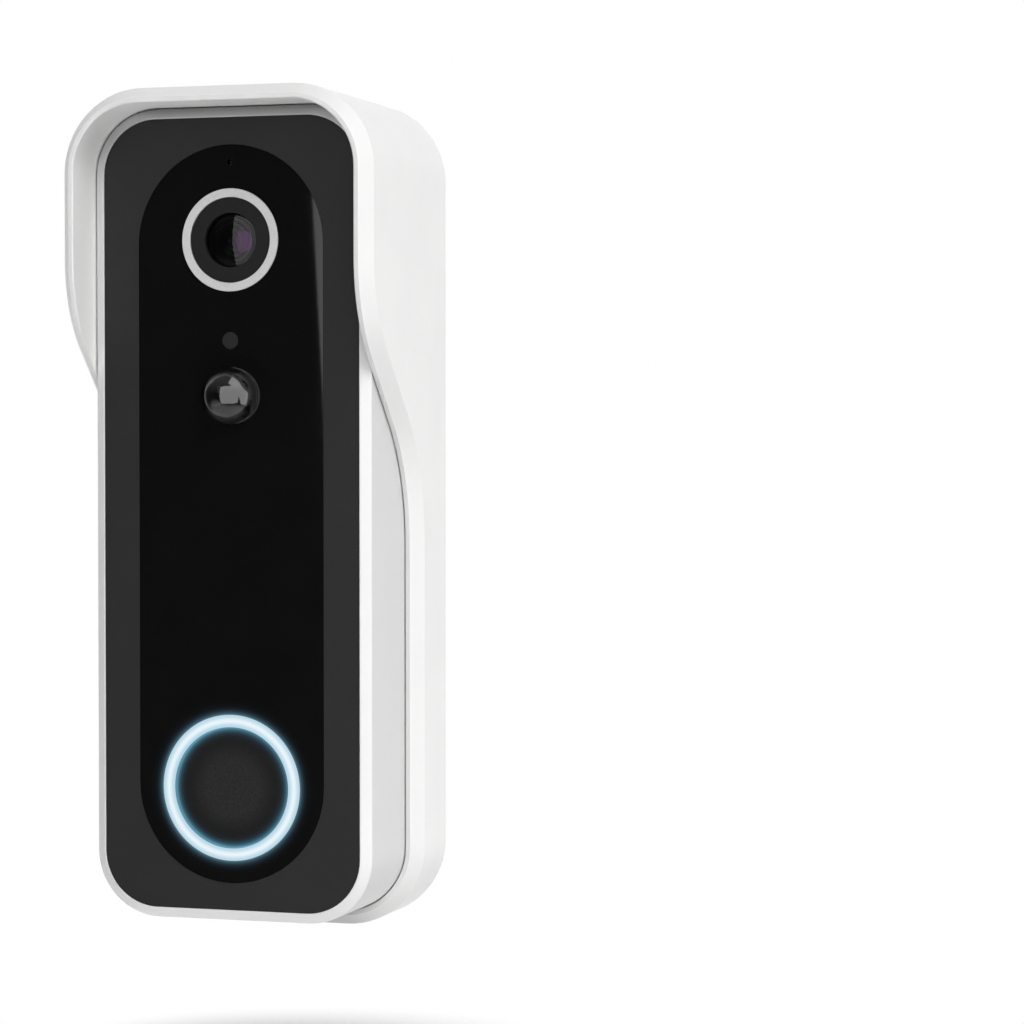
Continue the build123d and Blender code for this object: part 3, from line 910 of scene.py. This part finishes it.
def rubber(name):
    look = rubberSettings | rubberSettings[name]
    paint = finish(name)
    grain = paint.noise(look["grain"], detail=4.0, rough=0.7)
    bloom = paint.noise(look["bloom"], detail=3.0)
    return paint.skin(
        Base_Color=paint.blend(bloom.patches(look["bloomSpread"]), look["shade"], look["colour"]),
        Roughness=look["roughness"] + grain.swing(look["grainSwing"]),
        Normal=paint.bump(grain, look["grainDepth"]),
        Specular_IOR_Level=look["sheen"],
    )


def dressNodes(material, *names):
    for name in names:
        for slot in nodes[name].material_slots:
            slot.material = material


dressNodes(whitePlastic("hoodWhite", lowerLip), "rain_hood")
dressNodes(whitePlastic("housingWhite", slopingBorder), "front_housing")
dressNodes(whitePlastic("coverWhite"), "rear_cover")
dressNodes(matteDark("panelDark"), "front_panel")
dressNodes(glossyWindow(), "camera_window")
dressNodes(paleRing(), "lens_ring")
dressNodes(matteDark("bezelDark"), "lens_bezel")
dressNodes(frontGlass(), "front_lens")
dressNodes(rearGlass(), "rear_lens")
dressNodes(ridgedBarrel(), "lens_barrel", "lens_holder")
dressNodes(opticalFilter(), "ir_filter")
dressNodes(sensorChip(), "image_sensor")
dressNodes(smokedDome(), "motion_lens")
dressNodes(smokedGuide(), "light_guide")
dressNodes(glowingRing(), "light_ring")
dressNodes(darkCap(), "button_cap")
print("face dressed")

dressNodes(circuitBoard(), "main_board", "ir_led_board")
dressNodes(mouldedChip("chipBlack", "processor"), "processor", "memory_chip", "switch_body")
dressNodes(mouldedChip("chipSmall", "light_sensor"), "light_sensor", "reset_switch")
dressNodes(rolledMetal("shieldMetal"), "wifi_module", "motion_sensor")
dressNodes(rolledMetal("contactMetal"), "microphone", "usb_socket")
dressNodes(rolledMetal("screwSteel"), "cover_screws", "board_screws", "security_screw")
dressNodes(clearLamp(), "ir_leds", "ring_leds")
dressNodes(batteryWrap(), "battery_pack")
dressNodes(foamPad(), "battery_pad")
dressNodes(twoLeads(), "battery_leads")
dressNodes(nylon("plugWhite"), "battery_plug", "battery_socket")
dressNodes(nylon("plungerDark"), "switch_plunger", "motion_spacer")
dressNodes(amberFilm(), "wifi_antenna")
dressNodes(rubber("cableBlack"), "antenna_cable", "mic_boot")
dressNodes(rubber("speakerBlack"), "speaker")
dressNodes(wovenMesh(), "speaker_mesh")
dressNodes(rubber("flapRubber"), "usb_flap", "reset_key")
dressNodes(rubber("sealRubber"), "housing_gasket")
print("inside dressed")


floorSettings = {
    "drop": 0.028,  # below the hood
    "size": 6.0,
    "tone": (0.80, 0.80, 0.80),
    "shadowEdge": (0.025, 0.06),  # turns plain white away from the object
    "bounceEdge": (0.10, 0.24),  # and ends there for light that bounces
}


def makeFloor():
    look = floorSettings
    span = look["size"] / 2
    level = cadBox[0][2] - look["drop"]
    corners = [(-span, -span, level), (span, -span, level), (span, span, level), (-span, span, level)]
    mesh = bpy.data.meshes.new("floor")
    mesh.from_pydata(corners, [], [(0, 1, 2, 3)])
    floor = bpy.data.objects.new("floor", mesh)
    bpy.context.scene.collection.objects.link(floor)
    paint = finish("floorPale")
    x = paint.along("X")
    y = paint.along("Y")
    reach = (x * x + y * y).power(0.5)
    matt = paint.node("ShaderNodeBsdfDiffuse", inputs={"Color": look["tone"]})
    white = paint.node("ShaderNodeEmission", inputs={"Color": (1.0, 1.0, 1.0), "Strength": 1.0})
    clear = paint.node("ShaderNodeBsdfTransparent")
    shown = paint.either(reach.ramp(*look["shadowEdge"]), matt, white)
    bounced = paint.either(reach.ramp(*look["bounceEdge"]), matt, clear)
    surface = paint.either(paint.rays("Camera"), bounced, shown)
    paint.node("ShaderNodeOutputMaterial", inputs={"Surface": surface})
    mesh.materials.append(paint.owner)
    floor.visible_shadow = False  # light from below shines through it, as on a light table


def wayTo(azimuth, elevation):
    # degrees from the front to the viewer's right, and up
    turn = math.radians(azimuth)
    rise = math.radians(elevation)
    return Vector((math.sin(turn) * math.cos(rise), -math.cos(turn) * math.cos(rise), math.sin(rise)))


worldSettings = {
    "backdrop": 0.02,  # light that the white wall behind the object throws on it
    "backdropEdge": (-0.10, 0.30),
    "dimSide": 0.03,  # dark studio in front of it
    "card": {"azimuth": -45.0, "elevation": -50.0, "level": 0.55, "edge": (0.74, 0.97)},  # low left
    "ceiling": {"level": 0.22, "edge": (0.0, 1.0)},  # grey, seen in the motion lens
}


def makeWorld():
    look = worldSettings
    card = look["card"]
    ceiling = look["ceiling"]
    world = bpy.data.worlds.new("studioWorld")
    bpy.context.scene.world = world
    paint = Graph(world)
    way = paint.node("ShaderNodeTexCoord", output="Generated")
    behind = paint.split(way, "Y").ramp(*look["backdropEdge"])
    onCard = paint.dot(way, wayTo(card["azimuth"], card["elevation"]))
    pale = onCard.ramp(*card["edge"]) * card["level"]
    grey = paint.split(way, "Z").ramp(*ceiling["edge"]) * ceiling["level"]
    mirrored = paint.rays("Glossy").most(paint.rays("Transmission"))
    seen = paint.rays("Camera").most(mirrored * behind)
    dim = look["dimSide"] + (pale + grey) * mirrored
    level = dim + behind * (look["backdrop"] - dim)
    strength = seen + (1.0 - seen) * level
    light = paint.node("ShaderNodeBackground", inputs={"Color": (1.0, 1.0, 1.0), "Strength": strength})
    paint.node("ShaderNodeOutputWorld", inputs={"Surface": light})


softboxes = {
    "mirrored": {  # seen in the glossy pieces
        "frontPane": {"middle": (0.198, -0.631, 0.060), "azimuth": 18.2, "elevation": 2.5, "roll": 1.7,
                      "width": 0.975, "height": 0.92, "radiance": 1.75, "stopsAt": "sidePane"},
        "sidePane": {"middle": (0.813, -0.252, 0.135), "azimuth": 86.0, "elevation": 31.6, "roll": 11.0,
                     "width": 0.79, "height": 2.38, "radiance": 1.75},
    },
    "shading": {  # light the matt pieces, each a metre away
        "overRight": {"azimuth": 50.0, "elevation": 48.0, "width": 0.8, "height": 0.6, "radiance": 5.4},
        "overLeft": {"azimuth": -25.0, "elevation": 25.0, "width": 0.5, "height": 0.5, "radiance": 2.6},
        "right": {"azimuth": 95.0, "elevation": 0.0, "width": 0.8, "height": 1.0, "radiance": 1.4},
        "left": {"azimuth": -70.0, "elevation": 5.0, "width": 0.8, "height": 1.0, "radiance": 0.25},
        "lowRight": {"azimuth": 60.0, "elevation": -45.0, "width": 0.8, "height": 0.7, "radiance": 2.2},
        "lowLeft": {"azimuth": -50.0, "elevation": -45.0, "width": 0.8, "height": 0.7, "radiance": 2.7},
        "below": {"azimuth": 0.0, "elevation": -80.0, "width": 0.8, "height": 0.8, "radiance": 0.85},
        "farLeft": {"azimuth": -152.0, "elevation": 10.0, "width": 0.5, "height": 1.0, "radiance": 3.0},
        "behind": {"azimuth": 180.0, "elevation": 15.0, "width": 0.8, "height": 0.8, "radiance": 1.3},
    },
}


def standing(look):
    # where a softbox stands and how it is turned
    out = wayTo(look["azimuth"], look["elevation"])
    turn = Quaternion(out, math.radians(look.get("roll", 0.0))) @ out.to_track_quat("Z", "Y")
    metreAway = Vector((0.0, panelFace, 0.0)) + out
    return Vector(look.get("middle", metreAway)), turn


def stopAtEdge(lamp, look, side):
    # ends a pane where the edge of another crosses it, seen from the motion lens
    place, turn = standing(side)
    edge = place - turn @ Vector((side["width"] / 2, 0.0, 0.0)) - domeMiddle
    across = edge.cross(turn @ Vector((0.0, 1.0, 0.0))).normalized()
    if across.dot(standing(look)[0] - domeMiddle) < 0.0:
        across.negate()
    paint = Graph(lamp)
    spot = paint.node("ShaderNodeNewGeometry", output="Position")
    past = paint.dot(spot, across).above(across.dot(domeMiddle))
    glow = paint.node("ShaderNodeEmission", inputs={"Strength": past})
    paint.node("ShaderNodeOutputLight", inputs={"Surface": glow})


def makeSoftbox(name, look, mirrored):
    lamp = bpy.data.lights.new(name, "AREA")
    lamp.shape = "RECTANGLE"
    lamp.size = look["width"]
    lamp.size_y = look["height"]
    lamp.energy = look["radiance"] * math.pi * look["width"] * look["height"]  # watts
    box = bpy.data.objects.new(name, lamp)
    bpy.context.scene.collection.objects.link(box)
    box.rotation_mode = "QUATERNION"
    box.location, box.rotation_quaternion = standing(look)
    if "stopsAt" in look:
        stopAtEdge(lamp, look, softboxes["mirrored"][look["stopsAt"]])
    box.visible_camera = False
    box.visible_diffuse = not mirrored
    box.visible_glossy = mirrored


makeFloor()
makeWorld()
for group, boxes in softboxes.items():
    for boxName, boxLook in boxes.items():
        makeSoftbox(boxName, boxLook, group == "mirrored")
print("studio lit")

shot = {
    "place": (0.2002, -0.52443, 0.01365),
    "turn": 17.019,  # degrees to the left
    "dip": 1.427,  # degrees down
    "lens": 110.385,  # millimetres, as is the sensor
    "sensor": 36.0,
    "nearest": 0.01,
    "farthest": 50.0,
}


def makeCamera():
    lens = bpy.data.cameras.new("camera")
    lens.lens = shot["lens"]
    lens.sensor_width = shot["sensor"]
    lens.clip_start = shot["nearest"]
    lens.clip_end = shot["farthest"]
    camera = bpy.data.objects.new("camera", lens)
    bpy.context.scene.collection.objects.link(camera)
    camera.location = shot["place"]
    camera.rotation_euler = (math.radians(90.0 - shot["dip"]), 0.0, math.radians(shot["turn"]))
    bpy.context.scene.camera = camera


makeCamera()
bpy.context.scene.view_settings.view_transform = "Standard"
print("camera set")
